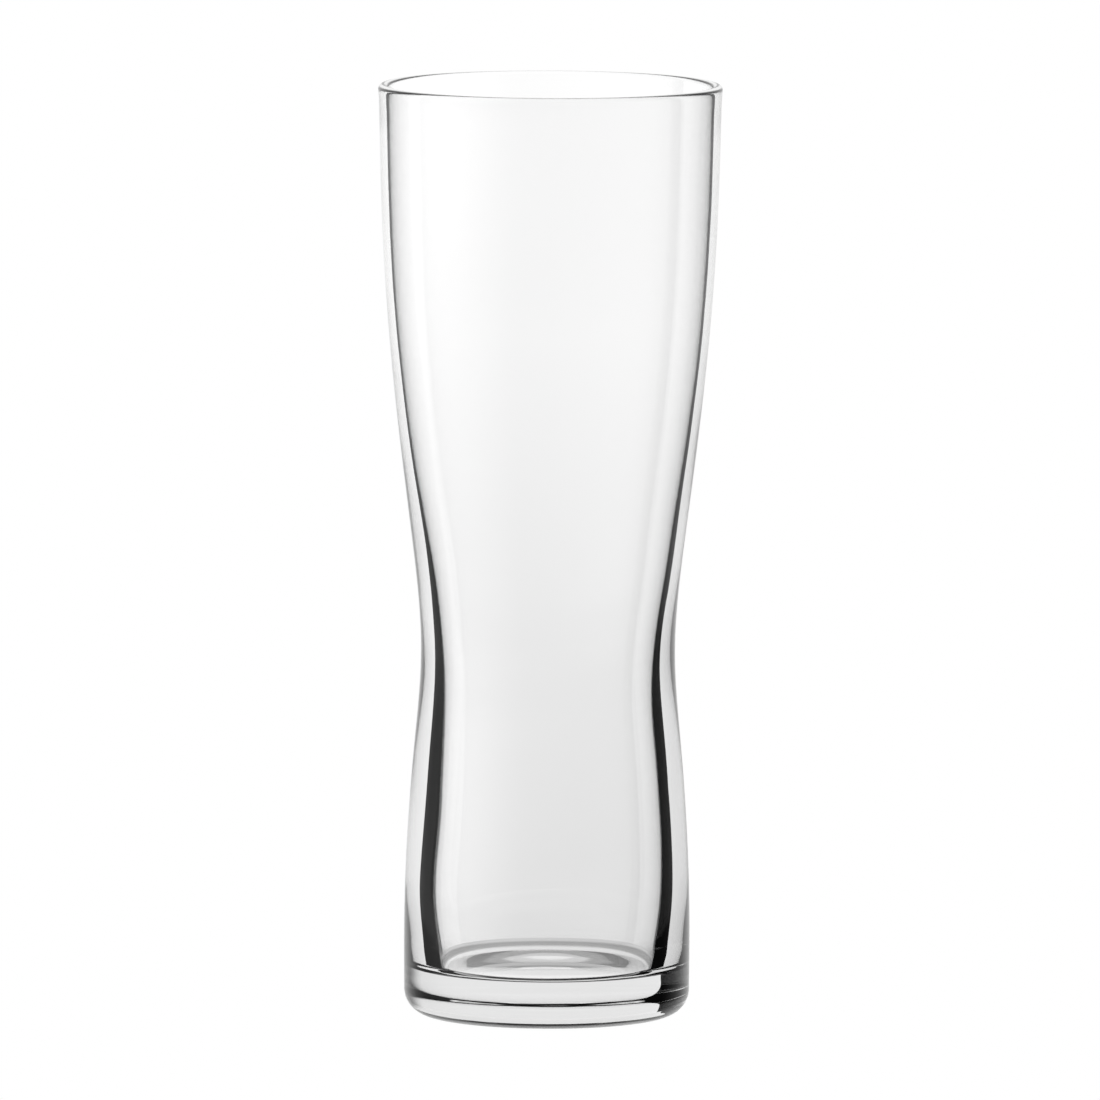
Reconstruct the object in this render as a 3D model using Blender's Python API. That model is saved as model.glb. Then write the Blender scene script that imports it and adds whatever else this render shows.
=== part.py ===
"""Pint glass: one piece of clear glass, turned about +Z.

Metres, +Z up. The origin is the centre of the ring that the glass stands on.
The wall is thin and flared at the mouth, narrows to a waist, and thickens
towards a solid base. The underside is hollowed inside its standing ring.
"""

import math

import bpy
import numpy as np

MM = 0.001

# Driving dimensions.
HEIGHT = 214.0 * MM
RIM_WALL = 2.15 * MM
RIM_BEAD = 0.2 * MM  # how far the fire-polished rim stands proud of the wall
RIM_BEAD_HEIGHT = 3.0 * MM
HEEL_RADIUS = 6.0 * MM
BASE_THICKNESS = 9.6 * MM
FLOOR_RADIUS = 22.3 * MM
FLOOR_DISH = 0.9 * MM  # how far the middle of the inner floor lies below its edge
CORNER_FULLNESS = 0.4  # how far the bend from floor to bore keeps to their directions
PUNT_RADIUS = 21.0 * MM  # the hollow underneath; the ring that stands is outside it
PUNT_DEPTH = 1.0 * MM

# Height and outer radius at the stations that set the outer curve, foot to rim.
OUTER_STATIONS = (
    (6.0 * MM, 32.7 * MM),
    (25.0 * MM, 32.7 * MM),
    (45.0 * MM, 31.9 * MM),
    (62.0 * MM, 30.6 * MM),
    (83.0 * MM, 29.1 * MM),
    (110.0 * MM, 31.3 * MM),
    (140.0 * MM, 35.0 * MM),
    (175.0 * MM, 38.0 * MM),
    (HEIGHT, 39.2 * MM),
)
# Height and bore radius at the stations that set the inner curve, floor to rim.
INNER_STATIONS = (
    (12.6 * MM, 25.0 * MM),
    (26.0 * MM, 26.3 * MM),
    (42.0 * MM, 25.8 * MM),
    (58.0 * MM, 24.85 * MM),
    (75.0 * MM, 24.1 * MM),
    (96.0 * MM, 25.85 * MM),
    (125.0 * MM, 30.5 * MM),
    (160.0 * MM, 34.8 * MM),
    (HEIGHT, 39.2 * MM - RIM_WALL),
)

# Fineness of the turned solid.
TURN_STEPS = 72
OUTER_STEPS = 18
INNER_STEPS = 18
ARC_STEPS = 6
FLOOR_STEPS = 3


def fair_curve(stations):
    """A function of height: the natural cubic spline through the stations."""
    heights = np.array([height for height, _ in stations])
    radii = np.array([radius for _, radius in stations])
    gaps = np.diff(heights)
    slopes = np.diff(radii) / gaps
    system = np.eye(len(heights))
    bends = np.zeros(len(heights))
    for i in range(1, len(heights) - 1):
        system[i, i - 1 : i + 2] = gaps[i - 1], 2 * (gaps[i - 1] + gaps[i]), gaps[i]
        bends[i] = 6 * (slopes[i] - slopes[i - 1])
    bends = np.linalg.solve(system, bends)

    def radius_at(height):
        i = int(np.clip(np.searchsorted(heights, height) - 1, 0, len(gaps) - 1))
        above = heights[i + 1] - height
        below = height - heights[i]
        bent = (bends[i] * above**3 + bends[i + 1] * below**3) / (6 * gaps[i])
        low = (radii[i] / gaps[i] - bends[i] * gaps[i] / 6) * above
        high = (radii[i + 1] / gaps[i] - bends[i + 1] * gaps[i] / 6) * below
        return float(bent + low + high)

    return radius_at


def outer_radius(height):
    """The outer wall, with the soft bead that stands proud at the rim."""
    below_rim = (HEIGHT - height) / RIM_BEAD_HEIGHT
    return OUTER_CURVE(height) + RIM_BEAD * math.exp(-(below_rim**2))


def arc(centre, radius, start, end, steps):
    """Points (radius, height) on an arc, its two ends included, angles in degrees."""
    points = []
    for i in range(steps + 1):
        angle = math.radians(start + (end - start) * i / steps)
        r = centre[0] + radius * math.cos(angle)
        z = centre[1] + radius * math.sin(angle)
        points.append((r, z))
    return points


def corner(foot, foot_slope, edge, edge_slope, steps):
    """A smooth bend from the bore wall's foot to the floor's edge, its ends left out.

    foot_slope is the wall's change of radius with height, edge_slope the floor's change
    of height with radius.
    """
    handle = CORNER_FULLNESS * math.dist(foot, edge)
    down = handle / math.hypot(1.0, foot_slope)
    out = handle / math.hypot(1.0, edge_slope)
    handle_foot = (foot[0] - foot_slope * down, foot[1] - down)
    handle_edge = (edge[0] + out, edge[1] + edge_slope * out)
    points = []
    for i in range(1, steps):
        t = i / steps
        weights = ((1 - t) ** 3, 3 * t * (1 - t) ** 2, 3 * t**2 * (1 - t), t**3)
        corners = (foot, handle_foot, handle_edge, edge)
        r = sum(w * c[0] for w, c in zip(weights, corners))
        z = sum(w * c[1] for w, c in zip(weights, corners))
        points.append((r, z))
    return points


def glass_profile():
    """The closed section, as (radius, height): floor, bore, rim, outside, underside."""
    bore_foot = INNER_STATIONS[0][0]
    floor_edge = BASE_THICKNESS + FLOOR_DISH

    points = []
    for i in range(FLOOR_STEPS + 1):
        r = FLOOR_RADIUS * i / FLOOR_STEPS
        points.append((r, BASE_THICKNESS + FLOOR_DISH * (r / FLOOR_RADIUS) ** 2))

    foot = (INNER_CURVE(bore_foot), bore_foot)
    slope = (INNER_CURVE(bore_foot + MM) - foot[0]) / MM
    floor_slope = 2 * FLOOR_DISH / FLOOR_RADIUS
    bend = corner(foot, slope, (FLOOR_RADIUS, floor_edge), floor_slope, ARC_STEPS)
    points.extend(reversed(bend))

    lip = HEIGHT - RIM_WALL / 2
    for i in range(INNER_STEPS + 1):
        z = bore_foot + (lip - bore_foot) * i / INNER_STEPS
        points.append((INNER_CURVE(z), z))

    lip_in, lip_out = INNER_CURVE(lip), outer_radius(lip)
    lip_centre = ((lip_in + lip_out) / 2, lip)
    lip_radius = (lip_out - lip_in) / 2
    for r, z in arc(lip_centre, lip_radius, 180, 0, ARC_STEPS)[1:-1]:
        # The rim is half an ellipse, so that it ends at the glass's full height.
        points.append((r, lip + (z - lip) * (HEIGHT - lip) / lip_radius))

    for i in range(OUTER_STEPS + 1):
        # Steps shorten towards the rim, where the bead bends the wall.
        z = lip - (lip - HEEL_RADIUS) * (i / OUTER_STEPS) ** 1.4
        points.append((outer_radius(z), z))

    heel_centre = (outer_radius(HEEL_RADIUS) - HEEL_RADIUS, HEEL_RADIUS)
    points.extend(arc(heel_centre, HEEL_RADIUS, 0, -90, ARC_STEPS)[1:])

    points.append((PUNT_RADIUS, 0.0))
    for i in range(1, ARC_STEPS + 1):
        r = PUNT_RADIUS * (1 - i / ARC_STEPS)
        rise = math.cos(math.pi / 2 * r / PUNT_RADIUS)
        points.append((r, PUNT_DEPTH * rise))
    return points


def clear_glass():
    material = bpy.data.materials.new("clear_glass")
    material.use_nodes = True
    shader = material.node_tree.nodes["Principled BSDF"]
    shader.inputs["Base Color"].default_value = (0.97, 0.98, 0.98, 1.0)
    shader.inputs["Metallic"].default_value = 0.0
    shader.inputs["Roughness"].default_value = 0.02
    shader.inputs["IOR"].default_value = 1.52
    shader.inputs["Transmission Weight"].default_value = 1.0
    return material


def turned_solid(name, section, material):
    """An object that turns the section, points of (radius, height), about +Z."""
    mesh = bpy.data.meshes.new(name)
    vertices = [(r, 0.0, z) for r, z in section]
    edges = [(i, i + 1) for i in range(len(section) - 1)]
    mesh.from_pydata(vertices, edges, [])
    mesh.materials.append(material)
    obj = bpy.data.objects.new(name, mesh)
    bpy.context.scene.collection.objects.link(obj)

    turn = obj.modifiers.new("turn", "SCREW")
    turn.axis = "Z"
    turn.angle = math.tau
    turn.steps = TURN_STEPS
    turn.render_steps = TURN_STEPS
    turn.use_merge_vertices = True
    turn.merge_threshold = 0.00001
    turn.use_smooth_shade = True
    return obj


for old in list(bpy.data.objects):
    bpy.data.objects.remove(old, do_unlink=True)

OUTER_CURVE = fair_curve(OUTER_STATIONS)
INNER_CURVE = fair_curve(INNER_STATIONS)
turned_solid("glass_body", glass_profile(), clear_glass())
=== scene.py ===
"""The looks of the pint glass: one clear glass body in a bright white studio.

Metres, +Z up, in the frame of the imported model. The glass is turned again here as
a fine surface, with the section of the CAD part, and stands on a plain pale floor.
"""

import math

import bpy
import numpy as np
from mathutils import Matrix, Vector


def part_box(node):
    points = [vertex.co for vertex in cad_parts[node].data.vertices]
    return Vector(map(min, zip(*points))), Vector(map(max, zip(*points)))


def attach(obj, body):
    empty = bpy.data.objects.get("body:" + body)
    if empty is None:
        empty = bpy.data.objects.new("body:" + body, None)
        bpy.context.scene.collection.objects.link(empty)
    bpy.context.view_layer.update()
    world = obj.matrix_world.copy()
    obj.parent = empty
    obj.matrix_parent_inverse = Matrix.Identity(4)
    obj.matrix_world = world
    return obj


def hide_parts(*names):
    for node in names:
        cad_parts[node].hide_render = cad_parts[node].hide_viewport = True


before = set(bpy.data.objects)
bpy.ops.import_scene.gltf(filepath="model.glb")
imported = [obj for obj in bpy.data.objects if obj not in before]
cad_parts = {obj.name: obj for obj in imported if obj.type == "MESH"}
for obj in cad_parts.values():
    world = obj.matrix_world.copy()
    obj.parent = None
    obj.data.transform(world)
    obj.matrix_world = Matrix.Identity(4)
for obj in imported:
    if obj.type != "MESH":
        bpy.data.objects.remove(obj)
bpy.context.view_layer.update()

MM = 0.001
GLASS_LOW, GLASS_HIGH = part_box("glass_body")
HEIGHT = GLASS_HIGH.z - GLASS_LOW.z

# The section of the glass: the same driving dimensions as the CAD part's.
RIM_WALL = 2.15 * MM
RIM_BEAD = 0.2 * MM  # how far the fire-polished rim stands proud of the wall
RIM_BEAD_HEIGHT = 3.0 * MM
HEEL_RADIUS = 6.0 * MM
BASE_THICKNESS = 9.6 * MM
FLOOR_RADIUS = 22.3 * MM
FLOOR_DISH = 0.9 * MM  # how far the middle of the inner floor lies below its edge
CORNER_FULLNESS = 0.4  # how far the bend from floor to bore keeps to their directions
PUNT_RADIUS = 21.0 * MM  # the hollow underneath; the ring that stands is outside it
PUNT_DEPTH = 1.0 * MM
# Height and outer radius at the stations that set the outer curve, foot to rim.
OUTER_STATIONS = (
    (6.0 * MM, 32.7 * MM),
    (25.0 * MM, 32.7 * MM),
    (45.0 * MM, 31.9 * MM),
    (62.0 * MM, 30.6 * MM),
    (83.0 * MM, 29.1 * MM),
    (110.0 * MM, 31.3 * MM),
    (140.0 * MM, 35.0 * MM),
    (175.0 * MM, 38.0 * MM),
    (HEIGHT, 39.2 * MM),
)
# Height and bore radius at the stations that set the inner curve, floor to rim.
INNER_STATIONS = (
    (12.6 * MM, 25.0 * MM),
    (26.0 * MM, 26.3 * MM),
    (42.0 * MM, 25.8 * MM),
    (58.0 * MM, 24.85 * MM),
    (75.0 * MM, 24.1 * MM),
    (96.0 * MM, 25.85 * MM),
    (125.0 * MM, 30.5 * MM),
    (160.0 * MM, 34.8 * MM),
    (HEIGHT, 39.2 * MM - RIM_WALL),
)
# The wall isn't quite even: the bore leans aside by these amounts, each centred on a
# height, with a spread. They are (aside, height, spread). The floor doesn't lean.
BORE_LEANS = (
    (0.35 * MM, 48.0 * MM, 17.0 * MM),
    (0.25 * MM, 100.0 * MM, 14.0 * MM),
)
LEAN_FROM = 12.5 * MM

# Fineness of the visible surface.
TURN_STEPS = 224
WALL_STEPS = 70
WALL_CROWDING = 1.4  # above 1, the outer wall's steps shorten towards the rim
ARC_STEPS = 14
FLOOR_STEPS = 10

# The glass: its refractive index, its faint waves, and a painted glow for the light that
# its wall leads to the rim, starting at one reach below the rim and ending at another,
# above which the lip is dark. Only light reflected this often inside the wall carries it.
GLASS_IOR = 1.52
WAVE_SCALE = 45.0
WAVE_DEPTH = 0.05 * MM
RIM_GLOW = 0.5
RIM_GLOW_REACH = 80.0 * MM
RIM_DARK_REACH = 13.0 * MM
RIM_GLOW_FULL = 0.5  # the part of its reach where the glow is full
RIM_DARK_FULL = 0.6  # the part of its reach where the lip is fully dark
RIM_GLOW_REFLECTIONS = 3.5

# The camera looks down a little at the glass through a long lens.
CAMERA_DISTANCE = 4.5
CAMERA_AZ = -135.0
CAMERA_ASIDE = 0.35 * MM
CAMERA_PITCH = 6.1
CAMERA_ROLL = 0.25
CAMERA_CLIP = 100.0
VIEW_WIDTH = 0.2519
SENSOR = 36.0

# The studio: a lit panel close behind the glass, with a black flag on each side of it,
# in a wide soft light. Azimuths are in degrees from +Y towards +X.
AHEAD = -CAMERA_AZ
WHITE = 1.0
WHITE_COLOUR = (1.0, 1.0, 1.0, 1.0)
PANEL_BEHIND = 65.0 * MM
PANEL_TOP_LIGHT, PANEL_FOOT_LIGHT = 1.06, 0.83
PANEL_TOP_FROM = 0.7 * HEIGHT
PANEL_LEFT_GAIN = 1.14
PANEL_LEFT_FROM, PANEL_LEFT_TO = -40.0 * MM, -5.0 * MM
PANEL_GUIDED_LIGHT = 0.2  # what light keeps that was reflected more often than this:
PANEL_GUIDED_REFLECTIONS = 1.5
FLAG_REACH = 220.0 * MM
# Each flag's inner edge, as (height, how far it stands from the middle), in mm.
LEFT_FLAG_EDGE = (
    (-120, 70),
    (-40, 71),
    (20, 72.5),
    (50, 75),
    (85, 80),
    (200, 77.5),
    (290, 77.5),
)
RIGHT_FLAG_EDGE = (
    (-120, 80),
    (-40, 80.5),
    (20, 81.5),
    (45, 83),
    (75, 73.5),
    (200, 78),
    (290, 78),
)
# Two small cards close behind the base, from one end to the other, as (aside, behind).
# Each is named, with its side and the places aside where it is clear and where black.
BASE_CARD_NEAR, BASE_CARD_FAR = (27.0 * MM, 33.0 * MM), (9.5 * MM, 49.0 * MM)
BASE_CARD_LOW, BASE_CARD_HIGH = -18.0 * MM, 24.0 * MM
BASE_CARDS = (
    ("base_card_left", -1, -9.0 * MM, -9.6 * MM),
    ("base_card_right", 1, 12.0 * MM, 19.0 * MM),
)
# Light that came through the solid base alone crossed fewer surfaces than this; light
# that came through the bore crossed more.
BORE_CROSSINGS = 2.5
# Light that was reflected in the glass: how bright it is, how much comes from behind the
# camera, how much it gains to the left, and how the gain bends. It is white ahead, up to
# the first angle, and weaker below the horizon.
REFLECTED_LIGHT = 0.8
BEHIND_LIGHT, SIDE_SLOPE, SIDE_BEND = 0.3, 0.42, 0.22
AHEAD_FADE = (25.0, 75.0)
LOW_LIGHT, LOW_FADE = 0.4, (-13.0, -5.0)
# A soft light overhead, and painted shade that stands for the table in shade close round
# the glass, darkening reflected light that goes steeply down: from, to, in degrees.
OVERHEAD_FROM, OVERHEAD_LIGHT = (28.0, 42.0), 0.8
TABLE_SHADE_FADE, TABLE_SHADE_LIGHT = (-58.0, -45.0), 0.1
# The glass's own shadow, a ring on the table: how it comes in, where it lifts and how it
# goes out, in distance from the axis, and its light before and after it lifts.
SHADOW_IN = (30.0 * MM, 33.0 * MM)
SHADOW_LIFT = (38.0 * MM, 44.0 * MM)
SHADOW_OUT = (50.0 * MM, 60.0 * MM)
SHADOW_LIGHT, SHADOW_LIFTED = 0.36, 0.64
SHADOW_STEPS = 48
SHADOW_DROP = 0.1 * MM
# Dark cards far from the glass, as (first, last, low, high, soft, darkness), in degrees.
# Light that goes straight through the glass meets these; the last five are for the
# glass's other sides.
CARDS = (
    (AHEAD - 84, AHEAD - 40, -60, 25, 3, 0.97),
    (AHEAD + 58, AHEAD + 92, -60, 25, 8, 0.9),
    (-60, -30, -16, 20, 3, 0.95),
    (30, 57, -16, 20, 3, 0.95),
    (-147, -120, -16, 20, 3, 0.95),
    (-102, -75, -45, -19, 3, 0.95),
    (-15, 12, -45, -19, 3, 0.95),
)
# Reflected light meets these.
REFLECTED_CARDS = (
    (AHEAD - 82, AHEAD - 46, -11, 30, 22, 0.8),
    (AHEAD + 46, AHEAD + 90, -11, 30, 24, 0.8),
)
FLOOR_HALF = 20.0
FLOOR_DROP = 0.2 * MM


def fair_curve(stations):
    """A function of height: the natural cubic spline through the stations."""
    heights = np.array([height for height, _ in stations])
    radii = np.array([radius for _, radius in stations])
    gaps = np.diff(heights)
    slopes = np.diff(radii) / gaps
    system = np.eye(len(heights))
    bends = np.zeros(len(heights))
    for i in range(1, len(heights) - 1):
        system[i, i - 1 : i + 2] = gaps[i - 1], 2 * (gaps[i - 1] + gaps[i]), gaps[i]
        bends[i] = 6 * (slopes[i] - slopes[i - 1])
    bends = np.linalg.solve(system, bends)

    def radius_at(height):
        i = int(np.clip(np.searchsorted(heights, height) - 1, 0, len(gaps) - 1))
        above = heights[i + 1] - height
        below = height - heights[i]
        bent = (bends[i] * above**3 + bends[i + 1] * below**3) / (6 * gaps[i])
        low = (radii[i] / gaps[i] - bends[i] * gaps[i] / 6) * above
        high = (radii[i + 1] / gaps[i] - bends[i + 1] * gaps[i] / 6) * below
        return float(bent + low + high)

    return radius_at


OUTER_CURVE = fair_curve(OUTER_STATIONS)
INNER_CURVE = fair_curve(INNER_STATIONS)


def outer_radius(height):
    """The outer wall, with the soft bead that stands proud at the rim."""
    below_rim = (HEIGHT - height) / RIM_BEAD_HEIGHT
    return OUTER_CURVE(height) + RIM_BEAD * math.exp(-(below_rim**2))


def arc(centre, radius, start, end, steps):
    """Points (radius, height) on an arc, its two ends included, angles in degrees."""
    points = []
    for i in range(steps + 1):
        angle = math.radians(start + (end - start) * i / steps)
        r = centre[0] + radius * math.cos(angle)
        z = centre[1] + radius * math.sin(angle)
        points.append((r, z))
    return points


def corner(foot, foot_slope, edge, edge_slope, steps):
    """A smooth bend from the bore wall's foot to the floor's edge, its ends left out.

    foot_slope is the wall's change of radius with height, edge_slope the floor's change
    of height with radius.
    """
    handle = CORNER_FULLNESS * math.dist(foot, edge)
    down = handle / math.hypot(1.0, foot_slope)
    out = handle / math.hypot(1.0, edge_slope)
    handle_foot = (foot[0] - foot_slope * down, foot[1] - down)
    handle_edge = (edge[0] + out, edge[1] + edge_slope * out)
    points = []
    for i in range(1, steps):
        t = i / steps
        weights = ((1 - t) ** 3, 3 * t * (1 - t) ** 2, 3 * t**2 * (1 - t), t**3)
        corners = (foot, handle_foot, handle_edge, edge)
        r = sum(w * c[0] for w, c in zip(weights, corners))
        z = sum(w * c[1] for w, c in zip(weights, corners))
        points.append((r, z))
    return points


def glass_section():
    """The closed section, as (radius, height): floor, bore, rim, outside, underside."""
    bore_foot = INNER_STATIONS[0][0]
    floor_edge = BASE_THICKNESS + FLOOR_DISH
    points = []
    for i in range(FLOOR_STEPS + 1):
        r = FLOOR_RADIUS * i / FLOOR_STEPS
        points.append((r, BASE_THICKNESS + FLOOR_DISH * (r / FLOOR_RADIUS) ** 2))

    foot = (INNER_CURVE(bore_foot), bore_foot)
    slope = (INNER_CURVE(bore_foot + MM) - foot[0]) / MM
    floor_slope = 2 * FLOOR_DISH / FLOOR_RADIUS
    bend = corner(foot, slope, (FLOOR_RADIUS, floor_edge), floor_slope, ARC_STEPS)
    points.extend(reversed(bend))

    lip = HEIGHT - RIM_WALL / 2
    for i in range(WALL_STEPS + 1):
        z = bore_foot + (lip - bore_foot) * i / WALL_STEPS
        points.append((INNER_CURVE(z), z))

    lip_in, lip_out = INNER_CURVE(lip), outer_radius(lip)
    lip_centre = ((lip_in + lip_out) / 2, lip)
    lip_radius = (lip_out - lip_in) / 2
    for r, z in arc(lip_centre, lip_radius, 180, 0, ARC_STEPS)[1:-1]:
        # The rim is half an ellipse, so that it ends at the glass's full height.
        points.append((r, lip + (z - lip) * (HEIGHT - lip) / lip_radius))

    for i in range(WALL_STEPS + 1):
        z = lip - (lip - HEEL_RADIUS) * (i / WALL_STEPS) ** WALL_CROWDING
        points.append((outer_radius(z), z))

    heel_centre = (outer_radius(HEEL_RADIUS) - HEEL_RADIUS, HEEL_RADIUS)
    points.extend(arc(heel_centre, HEEL_RADIUS, 0, -90, ARC_STEPS)[1:])

    points.append((PUNT_RADIUS, 0.0))
    for i in range(1, ARC_STEPS + 1):
        r = PUNT_RADIUS * (1 - i / ARC_STEPS)
        rise = math.cos(math.pi / 2 * r / PUNT_RADIUS)
        points.append((r, PUNT_DEPTH * rise))
    return points


def bore_lean(height):
    """How far the bore's centre leans aside at a height."""
    lean = 0.0
    for aside, middle, spread in BORE_LEANS:
        lean += aside * math.exp(-(((height - middle) / spread) ** 2))
    return lean


def turned_mesh(name, section, steps):
    """A closed mesh that turns the section about +Z.

    The section's first and last points lie on the axis.
    """
    rings = section[1:-1]
    lip = max(range(len(rings)), key=lambda i: rings[i][1])
    around = math.radians(CAMERA_AZ)
    aside = Vector((math.cos(around), math.sin(around), 0.0))
    vertices = [(0.0, 0.0, section[0][1])]
    for i, (r, z) in enumerate(rings):
        in_bore = i < lip and z > LEAN_FROM
        lean = aside * (bore_lean(z) if in_bore else 0.0)
        for j in range(steps):
            angle = math.tau * j / steps
            vertices.append((r * math.cos(angle) + lean.x, r * math.sin(angle) + lean.y, z))
    vertices.append((0.0, 0.0, section[-1][1]))

    top = len(vertices) - 1
    last_ring = 1 + (len(rings) - 1) * steps
    faces = []
    for j in range(steps):
        k = (j + 1) % steps
        faces.append((0, 1 + j, 1 + k))
        for i in range(len(rings) - 1):
            a, b = 1 + i * steps, 1 + (i + 1) * steps
            faces.append((a + k, a + j, b + j, b + k))
        faces.append((top, last_ring + k, last_ring + j))
    mesh = bpy.data.meshes.new(name)
    mesh.from_pydata(vertices, [], faces)
    mesh.validate()
    mesh.shade_smooth()
    mesh.update()
    return mesh


class NodeMaker:
    """Makes and joins nodes in one tree. A value is a number or another node's output."""

    def __init__(self, tree):
        self.nodes = tree.nodes
        self.links = tree.links

    def feed(self, socket, value):
        if isinstance(value, (int, float)):
            socket.default_value = value
        else:
            self.links.new(value, socket)

    def math(self, operation, *values):
        node = self.nodes.new("ShaderNodeMath")
        node.operation = operation
        for socket, value in zip(node.inputs, values):
            self.feed(socket, value)
        return node.outputs[0]

    def ramp(self, value, low, high, start, end, shape="SMOOTHSTEP"):
        """start where the value is at low, end where it is at high, eased between."""
        node = self.nodes.new("ShaderNodeMapRange")
        node.interpolation_type = shape
        names = ("Value", "From Min", "From Max", "To Min", "To Max")
        for socket_name, given in zip(names, (value, low, high, start, end)):
            self.feed(node.inputs[socket_name], given)
        return node.outputs["Result"]

    def mix(self, factor, a, b):
        node = self.nodes.new("ShaderNodeMix")
        node.data_type = "FLOAT"
        for socket_name, given in zip(("Factor", "A", "B"), (factor, a, b)):
            self.feed(node.inputs[socket_name], given)
        return node.outputs["Result"]

    def coordinates(self, kind):
        return self.nodes.new("ShaderNodeTexCoord").outputs[kind]

    def split(self, vector):
        node = self.nodes.new("ShaderNodeSeparateXYZ")
        self.links.new(vector, node.inputs[0])
        return node.outputs

    def light_path(self, kind):
        return self.nodes.new("ShaderNodeLightPath").outputs[kind]


def glass_material():
    """Clear glass with the faint waves of a pressed wall, whose rim glows.

    The glow is painted on: it stands for the light that the wall leads up to the rim.
    """
    material = bpy.data.materials.new("clear_glass")
    material.use_nodes = True
    maker = NodeMaker(material.node_tree)
    shader = maker.nodes["Principled BSDF"]
    shader.inputs["Base Color"].default_value = WHITE_COLOUR
    shader.inputs["Roughness"].default_value = 0.0
    shader.inputs["IOR"].default_value = GLASS_IOR
    shader.inputs["Transmission Weight"].default_value = 1.0
    shader.inputs["Emission Color"].default_value = WHITE_COLOUR

    place = maker.coordinates("Object")
    height = maker.split(place)["Z"]
    glow_from, glow_full = HEIGHT - RIM_GLOW_REACH, HEIGHT - RIM_GLOW_FULL * RIM_GLOW_REACH
    dark_from, dark_full = HEIGHT - RIM_DARK_REACH, HEIGHT - RIM_DARK_FULL * RIM_DARK_REACH
    # Painted glow: the rim emits light, only on light that was reflected often inside the wall.
    rim = maker.ramp(height, glow_from, glow_full, 0.0, RIM_GLOW)
    below_lip = maker.ramp(height, dark_from, dark_full, 1.0, 0.0)
    led = maker.math("GREATER_THAN", maker.light_path("Glossy Depth"), RIM_GLOW_REFLECTIONS)
    glow = maker.math("MULTIPLY", maker.math("MULTIPLY", rim, below_lip), led)
    maker.feed(shader.inputs["Emission Strength"], glow)

    waves = maker.nodes.new("ShaderNodeTexNoise")
    maker.feed(waves.inputs["Vector"], place)
    waves.inputs["Scale"].default_value = WAVE_SCALE
    waves.inputs["Detail"].default_value = 1.0
    bump = maker.nodes.new("ShaderNodeBump")
    maker.feed(bump.inputs["Height"], waves.outputs["Fac"])
    bump.inputs["Distance"].default_value = WAVE_DEPTH
    maker.feed(shader.inputs["Normal"], bump.outputs["Normal"])
    return material


def studio_world():
    """White all round, with soft-edged dark cards at the stated directions."""
    world = bpy.data.worlds.new("studio")
    bpy.context.scene.world = world
    world.use_nodes = True
    maker = NodeMaker(world.node_tree)
    maker.nodes.clear()

    x, y, z = maker.split(maker.coordinates("Generated"))
    azimuth = maker.math("DEGREES", maker.math("ARCTAN2", x, y))
    elevation = maker.math("DEGREES", maker.math("ARCSINE", z))

    def off_from(centre):
        return maker.math("WRAP", maker.math("SUBTRACT", azimuth, centre), 180.0, -180.0)

    def with_cards(light, cards):
        for first, last, low, high, soft, darkness in cards:
            off = maker.math("ABSOLUTE", off_from((first + last) / 2))
            half = (last - first) / 2
            mask = maker.ramp(off, half - soft, half + soft, darkness, 0.0)
            above = maker.ramp(elevation, low - soft, low + soft, 0.0, 1.0)
            below = maker.ramp(elevation, high - soft, high + soft, 1.0, 0.0)
            mask = maker.math("MULTIPLY", maker.math("MULTIPLY", mask, above), below)
            light = maker.math("MULTIPLY", light, maker.math("SUBTRACT", 1.0, mask))
        return light

    # Round the camera's side of the glass the light falls from left to right.
    ahead = off_from(AHEAD)
    aside = maker.math("SINE", maker.math("RADIANS", ahead))
    bend = maker.math("MULTIPLY", maker.math("MULTIPLY", aside, aside), SIDE_BEND)
    around = maker.math("MULTIPLY_ADD", aside, -SIDE_SLOPE, BEHIND_LIGHT)
    around = maker.math("ADD", around, bend)
    around = maker.math("MULTIPLY", around, maker.ramp(elevation, *LOW_FADE, LOW_LIGHT, 1.0))
    turned = maker.ramp(maker.math("ABSOLUTE", ahead), *AHEAD_FADE, 0.0, 1.0)
    reflected = with_cards(maker.mix(turned, WHITE, around), REFLECTED_CARDS)
    overhead = maker.ramp(elevation, *OVERHEAD_FROM, 0.0, 1.0)
    reflected = maker.mix(overhead, reflected, OVERHEAD_LIGHT)
    reflected = maker.math("MULTIPLY", reflected, REFLECTED_LIGHT)
    # Painted shade: reflected light going steeply down is darkened, for the table in shade.
    table = maker.ramp(elevation, *TABLE_SHADE_FADE, TABLE_SHADE_LIGHT, 1.0)
    reflected = maker.math("MULTIPLY", reflected, table)

    once_reflected = maker.math("GREATER_THAN", maker.light_path("Glossy Depth"), 0.5)
    seen = maker.mix(once_reflected, with_cards(WHITE, CARDS), reflected)
    light = maker.mix(maker.light_path("Is Camera Ray"), seen, WHITE)
    background = maker.nodes.new("ShaderNodeBackground")
    background.inputs["Color"].default_value = WHITE_COLOUR
    maker.feed(background.inputs["Strength"], light)
    output = maker.nodes.new("ShaderNodeOutputWorld")
    maker.feed(output.inputs["Surface"], background.outputs[0])


def behind_glass(name, corners, material):
    """A stage sheet close behind the glass, unseen by the camera.

    Its corners are (aside, behind, height).
    """
    mesh = bpy.data.meshes.new(name)
    mesh.from_pydata(corners, [], [tuple(range(len(corners)))])
    mesh.materials.append(material)
    sheet = bpy.data.objects.new(name, mesh)
    bpy.context.scene.collection.objects.link(sheet)
    sheet.matrix_world = Matrix.Rotation(math.radians(CAMERA_AZ), 4, "Z")
    sheet.visible_camera = False
    sheet.visible_glossy = False
    sheet.visible_shadow = False
    sheet.visible_diffuse = False


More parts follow.
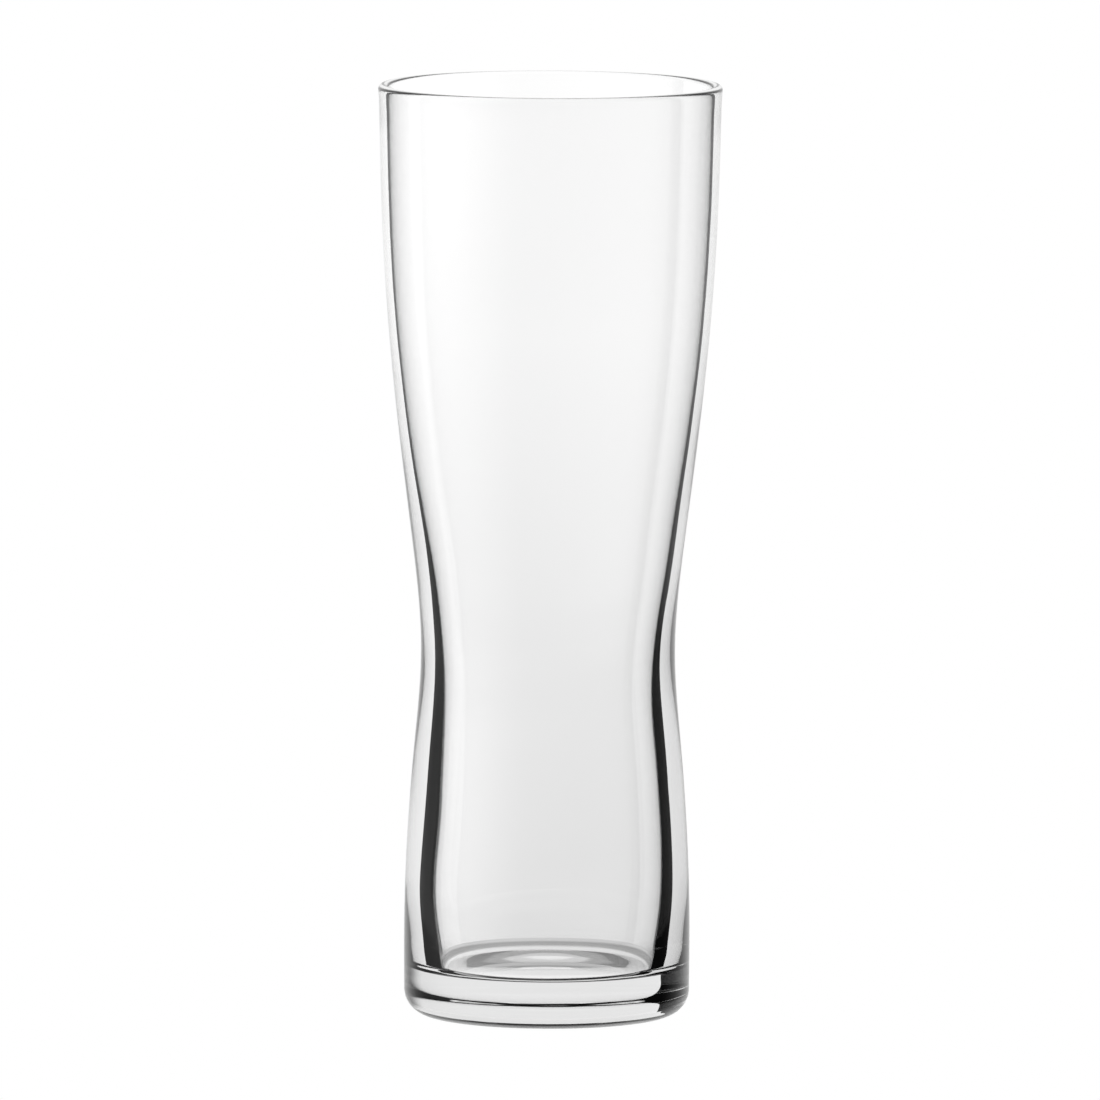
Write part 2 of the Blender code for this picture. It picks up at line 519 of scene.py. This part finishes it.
def glowing_material(name, strength):
    """A material that only glows, white, and the maker of its nodes."""
    material = bpy.data.materials.new(name)
    material.use_nodes = True
    maker = NodeMaker(material.node_tree)
    maker.nodes.clear()
    glow = maker.nodes.new("ShaderNodeEmission")
    glow.inputs["Strength"].default_value = strength
    output = maker.nodes.new("ShaderNodeOutputMaterial")
    maker.feed(output.inputs["Surface"], glow.outputs[0])
    return material, maker


def clear_but(maker, amount):
    """Leaves the stated amount of a glowing material, and makes the rest clear."""
    clear = maker.nodes.new("ShaderNodeBsdfTransparent")
    blend = maker.nodes.new("ShaderNodeMixShader")
    shaders = (amount, clear.outputs[0], maker.nodes["Emission"].outputs[0])
    for socket, value in zip(blend.inputs, shaders):
        maker.feed(socket, value)
    maker.feed(maker.nodes["Material Output"].inputs["Surface"], blend.outputs[0])


def panel_light():
    """Even light, weaker at its foot and stronger on the left.

    Light that the wall led here by reflection is weaker.
    """
    material, maker = glowing_material("panel_light", WHITE)
    aside, _, height = maker.split(maker.coordinates("Object"))
    rise = maker.ramp(
        height, 0.0, PANEL_TOP_FROM, PANEL_FOOT_LIGHT, PANEL_TOP_LIGHT, shape="LINEAR"
    )
    left = maker.ramp(aside, PANEL_LEFT_FROM, PANEL_LEFT_TO, PANEL_LEFT_GAIN, 1.0)
    reflections = maker.light_path("Glossy Depth")
    guided = maker.math("GREATER_THAN", reflections, PANEL_GUIDED_REFLECTIONS)
    kept = maker.math("MULTIPLY_ADD", guided, PANEL_GUIDED_LIGHT - 1.0, 1.0)
    strength = maker.math("MULTIPLY", maker.math("MULTIPLY", rise, left), kept)
    maker.feed(maker.nodes["Emission"].inputs["Strength"], strength)
    return material


def base_black(clear_at, black_at):
    """Black to light that crossed only the solid base, fading in from place to place."""
    material, maker = glowing_material("base_black", 0.0)
    aside = maker.split(maker.coordinates("Object"))["X"]
    amount = maker.ramp(aside, clear_at, black_at, 0.0, 1.0)
    crossings = maker.light_path("Transmission Depth")
    solid = maker.math("LESS_THAN", crossings, BORE_CROSSINGS)
    clear_but(maker, maker.math("MULTIPLY", amount, solid))
    return material


def panel_and_flags():
    """The lit panel and the two black flags beside it, in one plane behind the glass.

    The panel's foot is at the second point of the flags' edges, so that the flags go
    further down than the panel does.
    """
    left = [(-aside * MM, PANEL_BEHIND, height * MM) for height, aside in LEFT_FLAG_EDGE]
    right = [(aside * MM, PANEL_BEHIND, height * MM) for height, aside in RIGHT_FLAG_EDGE]
    behind_glass("backlight", left[1:] + right[:0:-1], panel_light())
    black, _ = glowing_material("flag_black", 0.0)
    for name, edge, side in (("flag_left", left, -1), ("flag_right", right, 1)):
        low, high = edge[0][2], edge[-1][2]
        far = [(side * FLAG_REACH, PANEL_BEHIND, height) for height in (high, low)]
        behind_glass(name, edge + far, black)


def base_cards():
    """The small upright cards behind the base: black on the left, fading on the right."""
    for name, side, clear_at, black_at in BASE_CARDS:
        near, far = ((side * aside, behind) for aside, behind in (BASE_CARD_NEAR, BASE_CARD_FAR))
        corners = [
            (*near, BASE_CARD_LOW),
            (*near, BASE_CARD_HIGH),
            (*far, BASE_CARD_HIGH),
            (*far, BASE_CARD_LOW),
        ]
        behind_glass(name, corners, base_black(clear_at, black_at))


def shadow_ring():
    """The glass's shadow on the table, met only by light that came through the bore."""
    material, maker = glowing_material("table_shadow", 0.0)
    length = maker.nodes.new("ShaderNodeVectorMath")
    length.operation = "LENGTH"
    maker.feed(length.inputs[0], maker.coordinates("Object"))
    reach = length.outputs["Value"]
    strength = maker.ramp(reach, *SHADOW_LIFT, SHADOW_LIGHT, SHADOW_LIFTED)
    maker.feed(maker.nodes["Emission"].inputs["Strength"], strength)
    come_in = maker.ramp(reach, *SHADOW_IN, 0.0, 1.0)
    go_out = maker.ramp(reach, *SHADOW_OUT, 1.0, 0.0)
    crossings = maker.light_path("Transmission Depth")
    crossed = maker.math("GREATER_THAN", crossings, BORE_CROSSINGS)
    clear_but(maker, maker.math("MULTIPLY", maker.math("MULTIPLY", come_in, go_out), crossed))

    radius = SHADOW_OUT[1]
    corners = []
    for i in range(SHADOW_STEPS):
        angle = math.tau * i / SHADOW_STEPS
        corners.append((radius * math.cos(angle), radius * math.sin(angle), -SHADOW_DROP))
    behind_glass("table_shadow", corners, material)


def pale_floor():
    """A plain white floor under the glass, lit evenly enough to show no horizon."""
    mesh = bpy.data.meshes.new("floor")
    signs = ((-1, -1), (1, -1), (1, 1), (-1, 1))
    corners = [(x * FLOOR_HALF, y * FLOOR_HALF, 0.0) for x, y in signs]
    mesh.from_pydata(corners, [], [(0, 1, 2, 3)])
    mesh.materials.append(glowing_material("floor_white", WHITE)[0])
    floor = bpy.data.objects.new("floor", mesh)
    bpy.context.scene.collection.objects.link(floor)
    floor.location.z = GLASS_LOW.z - FLOOR_DROP
    floor.visible_transmission = False
    floor.visible_glossy = False
    floor.visible_diffuse = False


def long_lens_camera():
    """The camera, far from the glass and aimed at its middle."""
    data = bpy.data.cameras.new("camera")
    data.sensor_width = SENSOR
    data.lens = SENSOR * CAMERA_DISTANCE / VIEW_WIDTH
    data.clip_end = CAMERA_CLIP
    camera = bpy.data.objects.new("camera", data)
    bpy.context.scene.collection.objects.link(camera)
    around, pitch = math.radians(CAMERA_AZ), math.radians(CAMERA_PITCH)
    level = math.cos(pitch)
    back = Vector((math.sin(around) * level, -math.cos(around) * level, math.sin(pitch)))
    right = Vector((math.cos(around), math.sin(around), 0.0))
    target = Vector((0.0, 0.0, HEIGHT / 2)) + right * CAMERA_ASIDE
    turn = (-back).to_track_quat("-Z", "Y").to_matrix().to_4x4()
    roll = Matrix.Rotation(math.radians(CAMERA_ROLL), 4, "Z")
    camera.matrix_world = Matrix.Translation(target + back * CAMERA_DISTANCE) @ turn @ roll
    bpy.context.scene.camera = camera


glass = bpy.data.objects.new("pint_glass", turned_mesh("pint_glass", glass_section(), TURN_STEPS))
bpy.context.scene.collection.objects.link(glass)
glass.data.materials.append(glass_material())
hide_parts("glass_body")
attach(glass, "root")

studio_world()
panel_and_flags()
base_cards()
shadow_ring()
pale_floor()
long_lens_camera()
bpy.context.scene.view_settings.view_transform = "Standard"
